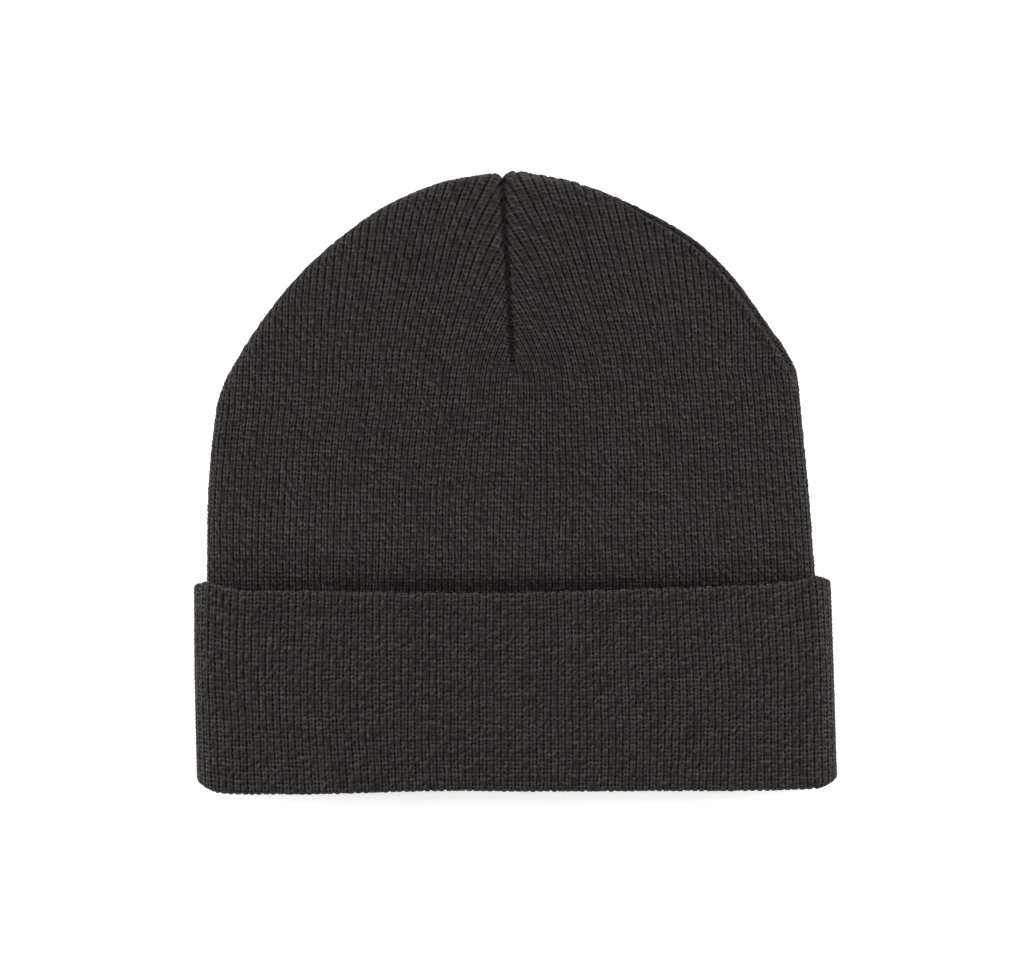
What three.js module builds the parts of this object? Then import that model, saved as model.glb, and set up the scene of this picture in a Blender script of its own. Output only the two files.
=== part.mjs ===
import * as THREE from 'three';

// A cuffed rib-knit beanie laid flat on its back, in millimetres with Z up.
// X runs across the hat, Y from the turned-up fold to the top of the crown, and Z out of its front.
// The crown is one hollow knitted shell with a sewn dart down its front and its back and a seam from
// side to side over the top. The cuff is the same knit turned up round its lower end.

// Driving sizes
const knitWall = 2.8; // two layers of rib knit
const clearance = 0.35; // between pieces that touch
const foldRadius = knitWall + clearance / 2; // outside of the turn at the foot of the cuff
const footGap = 1.5; // from the end of that turn to the foot of the crown
const topY = 212.8; // fold to the top of the crown
const topX = -4.2; // the crown leans a little to the left
const domeFrom = 127; // the outline turns in towards the top from here
const sideEdge = 4.3; // half the thickness of the flattened side edge
const topEdge = 3.7; // the same at the top seam
const cuffHeight = 68.7;
const cuffCorner = 2.6; // rounding of the cuff's lower corners
const hemCorner = { left: 2.9, right: 2 }; // rounding of its upper corners
const hemFlare = 0.5; // how far the hem stands off
const flareReach = 9; // and from how far below it the cuff bends out
const floorDrop = { from: 76, to: 106 }; // where the crown comes down off the cuff onto the floor

// Darts and seams
const dartFoot = 146; // the darts run from here to the top
const dartDepth = 2;
const dartSteps = [0, 2, 4.4]; // across a dart, from its floor to its rim
const notchDepth = 2; // where darts and seam cross at the top
const notchWidth = 3.6;
const seamDepth = 1.2;
const seamReach = 0.42; // half the angle that its groove takes up
const yarnRadius = 0.45;
const dartYarnRise = 1.05; // from the floor of a dart to the middle of its yarn
const seamYarnRise = 0.95;

// Outline of the crown, from the fold to the top
const crownSides = [
  { y: 0, left: -105.9, right: 107.2 },
  { y: 74, left: -105.7, right: 102.9 },
  { y: 105, left: -105, right: 100.8 },
  { y: domeFrom, left: -103.3, right: 98.7 },
  { y: 135, left: -101.6, right: 97.9 },
  { y: 145, left: -97.6, right: 96.5 },
  { y: 149.5, left: -95, right: 94.3 },
  { y: 162, left: -86.8, right: 85.8 },
  { y: 176, left: -75.6, right: 75.6 },
  { y: 190, left: -60.5, right: 60.7 },
  { y: 200, left: -46.6, right: 43.7 },
  { y: 207, left: -32.4, right: 28.6 },
  { y: 210, left: -23.3, right: 17.4 },
  { y: 211.6, left: -13.5, right: 8.4 },
  { y: topY, left: topX, right: topX },
];
const shoulders = { left: 131, right: 144 };

// Line of the darts, and how far the soft front stands up from the flat: it dips where the hem presses it
const crownRows = [
  { y: 0, centre: -3.5, loft: 8 },
  { y: 50, centre: -3.5, loft: 6.8 },
  { y: 64, centre: -3.5, loft: 3.4 },
  { y: 69.5, centre: -3.4, loft: 3 },
  { y: 73.5, centre: -3.3, loft: 5.6 },
  { y: 78, centre: -3.2, loft: 7.6 },
  { y: 86, centre: -3.1, loft: 8.4 },
  { y: 118, centre: -1.9, loft: 8.8 },
  { y: 146, centre: -0.8, loft: 8.6 },
  { y: 163, centre: -1.7, loft: 7.9 },
  { y: 180, centre: -2.6, loft: 6.4 },
  { y: 196, centre: -3.75, loft: 4 },
  { y: topY, centre: topX, loft: 0.4 },
];

// How far the seam over the top lies in front of the side edge, in radians round it
const seamRows = [
  { y: 120, left: -0.8, right: 0.88 },
  { y: 190, left: -0.8, right: 0.88 },
  { y: 198, left: -0.8, right: 0.82 },
  { y: 206.5, left: -0.75, right: 0.05 },
  { y: topY, left: -0.7, right: -0.7 },
];

// The hem is not level: it rises towards the sides
const hemLine = [
  { x: -110, height: 74.2 },
  { x: -103, height: 71.8 },
  { x: -97, height: 70.1 },
  { x: -72, height: 69.1 },
  { x: -29, height: 68.5 },
  { x: 5, height: 68.5 },
  { x: 30, height: 69.5 },
  { x: 65, height: 70.5 },
  { x: 84, height: 71.4 },
  { x: 95, height: 72.4 },
  { x: 103, height: 74.3 },
  { x: 110, height: 75.2 },
];

const cuffSides = [
  { y: 0, left: -109.4, right: 110.3 },
  { y: 40, left: -110.1, right: 109.4 },
  { y: 55, left: -110.2, right: 108.8 },
  { y: 72, left: -110.3, right: 108.1 },
];

// Rings and stations of the meshes
const cuffedHeights = [8.6, 26, 48, 64, 69.5, 73.5, floorDrop.from];
const bareHeights = [78, 86, 95, floorDrop.to, 118, domeFrom, shoulders.left, 137];
const domeRings = 17;
const flatShares = [0.28, 0.52, 0.76, 1];
const cuffShares = [0, 0.22, 0.44, 0.66, 0.84, 0.94, 1];
const edgeTurnCount = 7;
const seamStation = { left: 5, right: 1 };
const bendSteps = 6;
const yarnSides = 6;

const { PI } = Math;
const smooth = THREE.MathUtils.smoothstep;
const lerp = THREE.MathUtils.lerp;

// Reads one column of a table, straight between its rows.
function readRow(rows, column, at, along = 'y') {
  const above = rows.findIndex((row) => row[along] >= at);
  if (above < 0) return rows.at(-1)[column];
  if (above === 0) return rows[0][column];
  const [low, high] = [rows[above - 1], rows[above]];
  return lerp(low[column], high[column], (at - low[along]) / (high[along] - low[along]));
}

// The outline on one side at height y, as a smooth curve through its rows. The curve runs against the
// square root of the depth below the top, which rounds it over there.
const outlineKnots = [...crownSides].reverse().map((row) => ({ ...row, depth: Math.sqrt(topY - row.y) }));
function outlineAt(name, y) {
  const depth = Math.sqrt(Math.max(0, topY - y));
  const last = outlineKnots.length - 1;
  const secant = (i) => {
    const [near, far] = [outlineKnots[i], outlineKnots[i + 1]];
    return (far[name] - near[name]) / (far.depth - near.depth);
  };
  const slope = (i) => {
    if (i === 0) return secant(0);
    if (i === last) return secant(last - 1);
    const before = outlineKnots[i].depth - outlineKnots[i - 1].depth;
    const after = outlineKnots[i + 1].depth - outlineKnots[i].depth;
    return (before * secant(i) + after * secant(i - 1)) / (before + after);
  };
  const i = Math.min(last - 1, Math.max(0, outlineKnots.findIndex((row) => row.depth >= depth) - 1));
  const [near, far] = [outlineKnots[i], outlineKnots[i + 1]];
  const span = far.depth - near.depth;
  const t = (depth - near.depth) / span;
  const start = (1 + 2 * t) * (1 - t) ** 2 * near[name] + t * (1 - t) ** 2 * span * slope(i);
  return start + t * t * (3 - 2 * t) * far[name] + t * t * (t - 1) * span * slope(i + 1);
}

// How far the crown reaches to one side at height y. `inset` steps in from the outside by a wall, and
// draws the whole dome in by it.
function crownSide(name, y, inset) {
  const sign = name === 'left' ? -1 : 1;
  if (y <= domeFrom) return outlineAt(name, y) - sign * inset;
  const outer = topY - ((topY - inset - y) * (topY - domeFrom)) / (topY - inset - domeFrom);
  const reach = Math.abs(outlineAt(name, domeFrom) - topX);
  return topX + ((outlineAt(name, outer) - topX) * (reach - inset)) / reach;
}

// The section of the crown at height y: a flat tube with rounded edges and a soft front.
function crownSection(y, inset = 0) {
  const slopeStep = 0.5;
  const edge = lerp(sideEdge, topEdge, smooth(y, shoulders.right, topY)) - inset;
  const below = Math.min(topY - inset - y, edge);
  const half = Math.sqrt(Math.max(0, edge ** 2 - (edge - below) ** 2));
  const base = (knitWall + clearance) * (1 - smooth(y, floorDrop.from, floorDrop.to));
  const side = (name) => {
    const here = crownSide(name, y, inset);
    const slope = (here - crownSide(name, y - slopeStep, inset)) / slopeStep;
    return { reach: Math.abs(here - readRow(crownRows, 'centre', y)), run: half * Math.hypot(1, slope) };
  };
  return {
    centre: readRow(crownRows, 'centre', y),
    middle: base + edge + inset,
    half,
    loft: readRow(crownRows, 'loft', y),
    left: side('left'),
    right: side('right'),
  };
}

// The section of the cuff, which wraps the crown's.
function cuffSection(y, inset = 0) {
  const outer = sideEdge + knitWall + clearance;
  const half = outer - inset;
  return {
    centre: 0,
    middle: outer,
    half,
    loft: crownRows[0].loft + hemFlare * smooth(y, cuffHeight - flareReach, cuffHeight),
    left: { reach: -readRow(cuffSides, 'left', y) - inset, run: half },
    right: { reach: readRow(cuffSides, 'right', y) - inset, run: half },
  };
}

// A point of a section. `turn` is 0 on the front, PI / 2 on the edge and PI on the back.
// `across` gives the distance from the centre line on the flat of the section.
function sectionPoint(section, side, { turn, across }) {
  const { reach, run } = side < 0 ? section.left : section.right;
  const round = Math.min(run, 0.8 * reach);
  const out = across ? across(reach - round) : reach - round + round * Math.sin(turn);
  const puff = turn < PI / 2 ? section.loft * (1 - (out / reach) ** 2) : 0;
  return {
    x: section.centre + side * out,
    z: section.middle + section.half * Math.cos(turn) + puff,
    out,
  };
}

// Where the seam lies round the edge at height y.
function seamTurn(side, y) {
  return PI / 2 - readRow(seamRows, side > 0 ? 'right' : 'left', y);
}

// The stations round an edge: even down in the cuff, and gathered about the seam up on the dome.
function edgeTurns(side, y) {
  const seam = seamTurn(side, y);
  const [low, high] = [seam - seamReach, seam + seamReach];
  const spread = [0.2, 0.4, 0.6, 0.8];
  const short = side > 0 ? [] : spread.map((share) => share * low);
  const long = side > 0 ? spread.map((share) => lerp(high, PI, share)) : [];
  const gather = smooth(y, floorDrop.from, shoulders.left);
  return [...short, low, seam, high, ...long].map((turn, i) => lerp((PI * (i + 1)) / (edgeTurnCount + 1), turn, gather));
}

// Stations from the centre of the front to the centre of the back along one side.
function stationsOf(side, y) {
  const flats = [
    ...dartSteps.map((step) => (flat) => step * Math.min(1, flat / 24)),
    ...flatShares.map((share) => (flat) => lerp(dartSteps[2] * Math.min(1, flat / 24), flat, share)),
  ];
  const front = flats.map((across) => ({ turn: 0, across }));
  const back = [...front].reverse().map(({ across }) => ({ turn: PI, across }));
  const seam = side > 0 ? seamStation.right : seamStation.left;
  const edge = edgeTurns(side, y).map((turn, i) => ({ turn, seam: i === seam }));
  return [...front, ...edge, ...back];
}

// How far the lower corners draw up towards their side edges.
function cornerLift(turn, y) {
  return cuffCorner * Math.sin(turn) ** 2 * Math.max(0, 1 - y / 20) ** 1.5;
}

// One closed ring of the crown, clockwise as seen from the top of the hat.
function crownRing(y, inset) {
  const section = crownSection(y, inset);
  const room = section.half + section.loft;
  const groove = Math.min(dartDepth, 0.4 * room) * smooth(y, dartFoot - 7, dartFoot + 5);
  const seamCut = inset ? 0 : Math.min(seamDepth, 0.4 * section.half) * smooth(y, 132, 150);
  const place = (side) => (station) => {
    const { x, z, out } = sectionPoint(section, side, station);
    const point = new THREE.Vector3(x, y, z);
    if (station.across) {
      point.z -= Math.cos(station.turn) * groove * Math.max(0, 1 - out / dartSteps[2]) ** 1.3;
    }
    if (station.seam) {
      point.x -= side * Math.sin(station.turn) * seamCut;
      point.z -= Math.cos(station.turn) * seamCut;
    }
    const notch = Math.max(0, 1 - out / notchWidth) ** 2 * smooth(y, topY - 9, topY - 1);
    point.y -= notchDepth * notch;
    point.y += cornerLift(station.turn, y);
    return point;
  };
  const right = stationsOf(1, y).map(place(1));
  const left = stationsOf(-1, y).map(place(-1));
  return [...right, ...left.reverse().slice(1, -1)];
}

// Skins a stack of equal rings. A closed stack joins its last ring to its first; an open one gets a fan at each end.
function skin(rings, closed) {
  const columns = rings[0].length;
  const points = rings.flat();
  const index = [];
  const last = closed ? rings.length : rings.length - 1;
  for (let row = 0; row < last; row += 1) {
    const next = (row + 1) % rings.length;
    for (let column = 0; column < columns; column += 1) {
      const beside = (column + 1) % columns;
      const [a, b] = [row * columns + column, row * columns + beside];
      const [c, d] = [next * columns + beside, next * columns + column];
      index.push(a, b, c, a, c, d);
    }
  }
  if (!closed) {
    const cap = (ring, start, flip) => {
      const tip = points.length;
      points.push(ring.reduce((sum, p) => sum.add(p), new THREE.Vector3()).divideScalar(columns));
      for (let column = 0; column < columns; column += 1) {
        const [a, b] = [start + column, start + ((column + 1) % columns)];
        index.push(...(flip ? [tip, a, b] : [tip, b, a]));
      }
    };
    cap(rings[0], 0, false);
    cap(rings.at(-1), (rings.length - 1) * columns, true);
  }
  const geometry = new THREE.BufferGeometry().setFromPoints(points);
  geometry.setIndex(index);
  geometry.computeVertexNormals();
  return geometry;
}

// Heights of the crown's rings, for its outside or its inside.
function ringHeights(inset) {
  const dome = Array.from({ length: domeRings }, (_, i) => {
    return lerp(shoulders.right, topY - inset, Math.sin((PI / 2) * (i / domeRings)));
  });
  return [foldRadius + footGap, ...cuffedHeights, ...bareHeights, ...dome];
}

function crownGeometry() {
  const outside = ringHeights(0).map((y) => crownRing(y, 0));
  const inside = ringHeights(knitWall).map((y) => crownRing(y, knitWall));
  return skin([...inside.reverse(), ...outside], false);
}

// The cuff's wall as a loop of { inset, y }: up the outside, over the hem, down the inside and round the fold.
function cuffLoop() {
  const loop = [];
  const hem = knitWall / 2;
  const rise = [0.04, 0.3, 0.62, 1];
  rise.forEach((share) => loop.push({ inset: 0, y: lerp(foldRadius, cuffHeight - hem, share) }));
  for (let i = 1; i < 4; i += 1) {
    const angle = (PI * i) / 4;
    loop.push({ inset: hem - hem * Math.cos(angle), y: cuffHeight - hem + hem * Math.sin(angle) });
  }
  [...rise].reverse().forEach((share) => loop.push({ inset: knitWall, y: lerp(foldRadius, cuffHeight - hem, share) }));
  loop.push({ inset: foldRadius, y: foldRadius - clearance / 2 });
  loop.push({ inset: knitWall + clearance, y: foldRadius });
  for (let i = bendSteps; i > 0; i -= 1) {
    const angle = (PI * i) / bendSteps;
    loop.push({ inset: foldRadius - foldRadius * Math.cos(angle), y: foldRadius - foldRadius * Math.sin(angle) });
  }
  return loop;
}

function cuffRing({ inset, y }) {
  const section = cuffSection(y, inset);
  const flats = cuffShares.map((share) => (flat) => share * flat);
  const turns = Array.from({ length: edgeTurnCount }, (_, i) => (PI * (i + 1)) / (edgeTurnCount + 1));
  const front = flats.map((across) => ({ turn: 0, across }));
  const back = [...front].reverse().map(({ across }) => ({ turn: PI, across }));
  const stations = [...front, ...turns.map((turn) => ({ turn })), ...back];
  const place = (side) => (station) => {
    const { x, z } = sectionPoint(section, side, station);
    const share = y / cuffHeight;
    const rise = (readRow(hemLine, 'height', x, 'x') - cuffHeight) * share ** 2;
    const dip = (side > 0 ? hemCorner.right : hemCorner.left) * Math.sin(station.turn) ** 2 * share ** 6;
    return new THREE.Vector3(x, y + cornerLift(station.turn, y) + rise - dip, z);
  };
  const right = stations.map(place(1));
  const left = stations.map(place(-1));
  return [...right, ...left.reverse().slice(1, -1)];
}

function cuffGeometry() {
  return skin(cuffLoop().map(cuffRing), true);
}

// A strand of seam yarn along a list of points.
function yarnGeometry(points) {
  const outline = Array.from({ length: yarnSides }, (_, i) => {
    const angle = (2 * PI * i) / yarnSides;
    return new THREE.Vector2(yarnRadius * Math.cos(angle), yarnRadius * Math.sin(angle));
  });
  const path = new THREE.CatmullRomCurve3(points, false, 'centripetal');
  return new THREE.ExtrudeGeometry(new THREE.Shape(outline), {
    steps: points.length - 1,
    bevelEnabled: false,
    extrudePath: path,
  });
}

// The yarn of a dart, lying in its groove on the front or the back.
function dartYarn(turn) {
  const heights = ringHeights(0).filter((y) => y > dartFoot + 3 && y < topY - 3);
  return yarnGeometry(
    heights.map((y) => {
      const middle = crownRing(y, 0)[turn ? stationsOf(1, y).length - 1 : 0];
      return middle.clone().add(new THREE.Vector3(0, 0, dartYarnRise * Math.cos(turn)));
    }),
  );
}

// The yarn of the seam from shoulder to shoulder over the top.
function seamYarn() {
  const heights = ringHeights(0).filter((y) => y >= shoulders.right);
  const strand = (side) => {
    const name = side > 0 ? 'right' : 'left';
    const at = stationsOf(side, topY).findIndex((station) => station.seam);
    return heights.map((y) => {
      const ring = crownRing(y, 0);
      const point = ring[side > 0 ? at : ring.length - at].clone();
      const turn = seamTurn(side, y);
      const slope = (crownSide(name, y + 0.01, 0) - crownSide(name, y, 0)) / 0.01;
      const plan = new THREE.Vector2(side, Math.abs(slope)).normalize().multiplyScalar(Math.sin(turn));
      return point.add(new THREE.Vector3(plan.x, plan.y, Math.cos(turn)).multiplyScalar(seamYarnRise));
    });
  };
  return yarnGeometry([...strand(-1), ...strand(1).reverse()]);
}

const knit = new THREE.MeshStandardMaterial({ color: 0x2f2d2d, roughness: 0.95, metalness: 0 });
const hemKnit = new THREE.MeshStandardMaterial({ color: 0x302e2e, roughness: 0.95, metalness: 0 });
const seamThread = new THREE.MeshStandardMaterial({ color: 0x1d1c1c, roughness: 0.9, metalness: 0 });

function piece(name, geometry, material) {
  const mesh = new THREE.Mesh(geometry, material);
  mesh.name = name;
  return mesh;
}

const hat = new THREE.Group();
hat.add(
  piece('crown', crownGeometry(), knit),
  piece('cuff', cuffGeometry(), hemKnit),
  piece('front_dart_seam', dartYarn(0), seamThread),
  piece('back_dart_seam', dartYarn(PI), seamThread),
  piece('crown_seam', seamYarn(), seamThread),
);

// The origin is the middle of the footprint, on the surface that the hat lies on.
const footprint = new THREE.Box3().setFromObject(hat).getCenter(new THREE.Vector3());
hat.position.set(-footprint.x, -footprint.y, 0);

const beanie = new THREE.Group();
beanie.add(hat);

export default beanie;
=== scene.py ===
# A cuffed rib-knit beanie lying flat on its back, seen from straight above.
# Shapes are worked out in millimetres, with x from the hat's middle and y from the fold of its cuff.
import math

import bmesh
import bpy
import numpy as np
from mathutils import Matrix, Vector


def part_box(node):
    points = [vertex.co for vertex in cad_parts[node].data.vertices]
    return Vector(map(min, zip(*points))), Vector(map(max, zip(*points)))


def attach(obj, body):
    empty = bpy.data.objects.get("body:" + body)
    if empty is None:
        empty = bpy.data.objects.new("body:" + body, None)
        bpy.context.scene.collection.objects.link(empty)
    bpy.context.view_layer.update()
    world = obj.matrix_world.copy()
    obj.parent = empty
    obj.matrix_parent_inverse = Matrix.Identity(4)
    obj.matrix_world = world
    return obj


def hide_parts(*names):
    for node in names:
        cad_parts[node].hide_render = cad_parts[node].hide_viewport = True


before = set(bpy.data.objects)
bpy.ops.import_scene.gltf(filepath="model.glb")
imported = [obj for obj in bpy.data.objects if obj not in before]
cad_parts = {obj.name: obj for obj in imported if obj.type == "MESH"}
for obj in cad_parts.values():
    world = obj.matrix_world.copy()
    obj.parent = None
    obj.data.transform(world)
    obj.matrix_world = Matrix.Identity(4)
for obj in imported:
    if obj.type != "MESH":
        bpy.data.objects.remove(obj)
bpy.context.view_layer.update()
print("frame loaded:", ", ".join(sorted(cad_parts)))

mm = 0.001
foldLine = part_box("cuff")[0].y  # where the fold lies in the frame, in metres

hat = {
    "wall": 2.8,  # thickness of the double rib knit
    "gap": 0.35,  # between the cuff and the crown inside it
    "topY": 212.8,
    "topX": -4.2,
    "domeFrom": 127.0,
    "sideEdge": 4.3,  # half the thickness of the flattened side edge
    "topEdge": 3.7,
    "edgeFrom": 146.8,  # the edge gets thinner from here to the top
    "edgeShare": 0.8,  # the most that its rounding takes of the way out from the dart line
    "dropFrom": 76.0,  # the crown comes down off the cuff onto the floor
    "dropTo": 106.0,
    "hemTuck": 1.5,  # how much lower the crown lies beside the hem, halfway to its sides
    "tuckAt": 72.0,
    "tuckReach": 9.0,
}

# the seam over the top starts at the shoulders
sides = {
    "left": {"sign": -1, "shoulder": 131.0},
    "right": {"sign": 1, "shoulder": 144.0},
}
faceNames = {1: "front", -1: "back"}

# outline of the crown
crownSides = [
    {"y": 0.0, "left": -105.9, "right": 107.2},
    {"y": 74.0, "left": -105.7, "right": 102.9},
    {"y": 105.0, "left": -105.4, "right": 100.8},
    {"y": 127.0, "left": -103.3, "right": 98.7},
    {"y": 135.0, "left": -101.95, "right": 97.9},
    {"y": 145.0, "left": -97.6, "right": 96.5},
    {"y": 149.5, "left": -95.0, "right": 94.3},
    {"y": 162.0, "left": -86.8, "right": 85.8},
    {"y": 176.0, "left": -75.6, "right": 75.6},
    {"y": 190.0, "left": -60.5, "right": 61.1},
    {"y": 200.0, "left": -46.6, "right": 43.7},
    {"y": 207.0, "left": -32.0, "right": 27.8},
    {"y": 210.0, "left": -23.1, "right": 16.4},
    {"y": 211.6, "left": -14.0, "right": 6.6},
    {"y": 212.8, "left": -4.2, "right": -4.2},
]

# line of the darts, and how far the soft front stands up
crownRows = [
    {"y": 0.0, "centre": -3.5, "loft": 8.0},
    {"y": 50.0, "centre": -3.5, "loft": 6.8},
    {"y": 64.0, "centre": -3.5, "loft": 4.2},
    {"y": 69.5, "centre": -3.4, "loft": 4.6},
    {"y": 73.5, "centre": -3.3, "loft": 7.7},
    {"y": 78.0, "centre": -3.2, "loft": 8.4},
    {"y": 86.0, "centre": -3.1, "loft": 8.5},
    {"y": 118.0, "centre": -1.9, "loft": 8.8},
    {"y": 146.0, "centre": -0.8, "loft": 8.6},
    {"y": 163.0, "centre": -1.7, "loft": 7.9},
    {"y": 180.0, "centre": -2.6, "loft": 6.4},
    {"y": 196.0, "centre": -3.75, "loft": 4.0},
    {"y": 212.8, "centre": -4.2, "loft": 0.4},
]


def clampTo(value, low, high):
    return np.minimum(np.maximum(value, low), high)


def easeStep(value, low, high):
    share = clampTo((value - low) / (high - low), 0.0, 1.0)
    return share * share * (3.0 - 2.0 * share)


def columnOf(rows, name):
    return np.array([row[name] for row in rows])


# a smooth curve through values at rising knots
def smoothCurve(knots, values, at):
    slopes = np.gradient(values, knots)
    at = clampTo(np.asarray(at, float), knots[0], knots[-1])
    low = clampTo(np.searchsorted(knots, at) - 1, 0, len(knots) - 2)
    span = knots[low + 1] - knots[low]
    t = (at - knots[low]) / span
    start = (1 + 2 * t) * (1 - t) ** 2 * values[low] + t * (1 - t) ** 2 * span * slopes[low]
    end = t * t * (3 - 2 * t) * values[low + 1] + t * t * (t - 1) * span * slopes[low + 1]
    return start + end


def readCurve(rows, name, at, along="y"):
    return smoothCurve(columnOf(rows, along), columnOf(rows, name), at)


# the outline is read against the square root of the depth below the top, which rounds it over there
def outlineAt(side, y):
    depths = np.sqrt(hat["topY"] - columnOf(crownSides, "y"))[::-1]
    depth = np.sqrt(np.maximum(hat["topY"] - y, 0.0))
    return smoothCurve(depths, columnOf(crownSides, side)[::-1], depth)


# how far the crown reaches to one side at height y; the inner wall's dome is the outer one drawn in
def crownSide(side, y, inset):
    base, top = hat["domeFrom"], hat["topY"] - inset
    y = np.asarray(y, float)
    outer = np.where(y > base, hat["topY"] - (top - y) * (hat["topY"] - base) / (top - base), y)
    here = outlineAt(side, outer)
    low = here - sides[side]["sign"] * inset
    reach = abs(float(outlineAt(side, base)) - hat["topX"])
    high = hat["topX"] + (here - hat["topX"]) * (reach - inset) / reach
    return np.where(y > base, high, low)


# the crown's section at height y: a flat middle and a rounded edge
def crownSection(side, y, inset):
    step = 0.5
    least = 1e-8
    thinner = (hat["topEdge"] - hat["sideEdge"]) * easeStep(y, hat["edgeFrom"], hat["topY"])
    edge = hat["sideEdge"] + thinner - inset
    below = clampTo(hat["topY"] - inset - y, 0.0, edge)
    half = np.sqrt(np.maximum(least, edge**2 - (edge - below) ** 2))
    base = (hat["wall"] + hat["gap"]) * (1.0 - easeStep(y, hat["dropFrom"], hat["dropTo"]))
    centre = readCurve(crownRows, "centre", y)
    here = crownSide(side, y, inset)
    slope = (here - crownSide(side, y - step, inset)) / step
    reach = np.abs(here - centre)
    run = np.minimum(half * np.hypot(1.0, slope), hat["edgeShare"] * reach)
    return {
        "centre": centre,
        "middle": base + edge + inset,
        "half": half,
        "loft": readCurve(crownRows, "loft", y),
        "reach": reach,
        "run": run,
        "flat": reach - run,
        "arc": (run + half) / 2,
        "bend": half**2 / run,
    }


# ribs run straight up to the outline, so the way round the edge starts out even in x:
# way = (run - bend) * sin(turn) + bend * turn
def turnAt(section, s):
    run, bend = section["run"], section["bend"]
    newtonSteps = 4
    quarter = run + bend * (math.pi / 2 - 1.0)
    way = clampTo(s - section["flat"], 0.0, quarter)
    turn = np.arcsin(way / quarter)
    for _ in range(newtonSteps):
        miss = (run - bend) * np.sin(turn) + bend * turn - way
        turn = turn - miss / ((run - bend) * np.cos(turn) + bend)
    beyond = np.maximum(s - section["flat"] - quarter, 0.0) / section["arc"]
    return clampTo(np.where(beyond > 0, math.pi / 2 + beyond, turn), 0.0, math.pi)


def wayTo(section, turn):
    run, bend = section["run"], section["bend"]
    near = np.minimum(turn, math.pi / 2)
    way = (run - bend) * np.sin(near) + bend * near
    return section["flat"] + way + np.maximum(turn - math.pi / 2, 0.0) * section["arc"]


darts = {
    "foot": 146.0,
    "openBelow": 6.0,  # the crease starts this far below the foot and is full this far above it
    "openAbove": 8.0,
    "depth": 2.8,
    "width": 2.7,
    "sharpness": 1.35,
    "notch": 2.2,  # where the darts cross the top
    "notchWidth": 2.8,
    "notchSharpness": 1.2,
    "notchFrom": 8.0,  # it deepens between these distances below the top
    "notchTo": 0.5,
    "overlap": 0.25,  # the two sides run on past each other by this much
}

# slow unevenness of the cloth, and how far single ribs and stitches are out of line
unevenness = {
    "rise": 0.3,
    "fullRise": 4.0,  # loft from which the cloth rises and falls in full
    "drift": 0.32,  # of ribs, sideways
    "driftAcross": 2.0,  # its waves against those of the rise
    "driftAlong": 1.6,
    "driftHold": 12.0,  # ribs drift less this close to the darts and the seam
    "wander": 0.055,
    "slowPace": 0.55,
    "quickPace": 1.7,
    "quickShare": 0.8,
    "paceRange": (0.7, 1.3),
    "stitch": 0.18,
    "phase": 3.0,  # of stitches along their rib, against the wander of ribs
}

# the waves of the cloth, and what sets those of one panel apart from another's
waves = [
    {"x": 0.071, "y": 0.043, "turn": 1.3, "share": 1.0},
    {"x": 0.029, "y": -0.087, "turn": 2.1, "share": 1.0},
    {"x": 0.131, "y": 0.021, "turn": 0.7, "share": 0.6},
]
waveTurns = {"crownRise": 1, "crownDrift": 3, "cuffRise": 5, "cuffDrift": 6}

# a seed for each kind of chance, to which the side and the face add their own
seeds = {
    "crownLines": 10,
    "crownRelief": 20,
    "cuffRelief": 30,
    "cuffLines": 40,
    "crownStitches": 60,
    "cuffStitches": 70,
    "hemEnds": 90,
}


def seedFor(kind, side, face):
    return seeds[kind] + face + 2 * sides[side]["sign"]


def slowWave(x, y, turn):
    total = sum(w["share"] * np.sin(w["x"] * x + w["y"] * y + w["turn"] * turn) for w in waves)
    return total / sum(w["share"] for w in waves)


# a point of the crown at distance s from the dart line; face is 1 on the front and -1 on the back
def crownPoint(side, face, s, y, inset):
    section = crownSection(side, y, inset)
    sign = sides[side]["sign"]
    turn = turnAt(section, s)
    out = np.where(s < section["flat"], s, section["flat"] + section["run"] * np.sin(turn))
    facing = face * np.cos(turn)
    inner = np.maximum(0.0, 1.0 - (out / section["reach"]) ** 2)
    wave = unevenness["rise"] * slowWave(sign * s, y, waveTurns["crownRise"])
    soft = section["loft"] + wave * easeStep(section["loft"], 0.0, unevenness["fullRise"])
    besideHem = np.exp(-(((y - hat["tuckAt"]) / hat["tuckReach"]) ** 2))
    tuck = hat["hemTuck"] * besideHem * 4.0 * inner * (1.0 - inner)  # deepest where inner is a half
    puff = np.where(facing > 0, soft * inner - tuck, 0.0)
    room = section["half"] + section["loft"] / 2
    opened = easeStep(y, darts["foot"] - darts["openBelow"], darts["foot"] + darts["openAbove"])
    crease = np.minimum(darts["depth"], room / 2) * opened
    dip = crease * np.maximum(0.0, 1.0 - np.abs(s) / darts["width"]) ** darts["sharpness"]
    near = np.maximum(0.0, 1.0 - np.abs(s) / darts["notchWidth"])
    notch = darts["notch"] * near ** darts["notchSharpness"]
    notch = notch * easeStep(y, hat["topY"] - darts["notchFrom"], hat["topY"] - darts["notchTo"])
    x = section["centre"] + sign * out
    z = section["middle"] + facing * section["half"] + puff - face * dip
    return np.stack([x, y - notch, z], axis=-1)


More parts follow.
